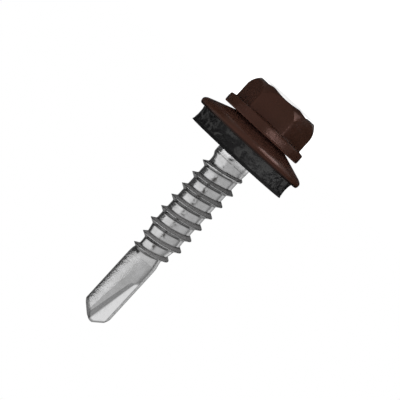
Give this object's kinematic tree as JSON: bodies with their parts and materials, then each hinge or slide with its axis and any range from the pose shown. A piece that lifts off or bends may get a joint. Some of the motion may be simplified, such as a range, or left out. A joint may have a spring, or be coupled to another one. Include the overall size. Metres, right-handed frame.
{
  "type": "self drilling screw",
  "caption": "Self drilling roofing screw: painted hexagon flange head, threaded shank with a fluted drill point, and a captive bonded sealing washer that turns on the neck.",
  "frame": {"origin": "on the shank's axis, level with the highest points of the head's top, on which the screw stands", "axes": "+Z along the shank from the head to the drill point, +X through a corner of the hexagon"},
  "size_m": [0.0142, 0.0142, 0.032],
  "materials": {
    "zinc_steel": "bright zinc plate, satin, lightly scuffed by thread rolling",
    "brown_paint": "semi-gloss chocolate brown powder paint with a fine orange peel",
    "seal_rubber": "matt grained black sealing rubber with a smoother lip"
  },
  "bodies": {
    "screw": {"screw": "zinc_steel"},
    "sealing_washer": {"metal_washer": "brown_paint", "rubber_seal": "seal_rubber"}
  },
  "joints": [
    {"name": "washer_spin", "type": "hinge", "parent": "screw", "child": "sealing_washer", "pos_m": [0, 0, 0.0055], "axis": [0, 0, 1], "continuous": true}
  ]
}
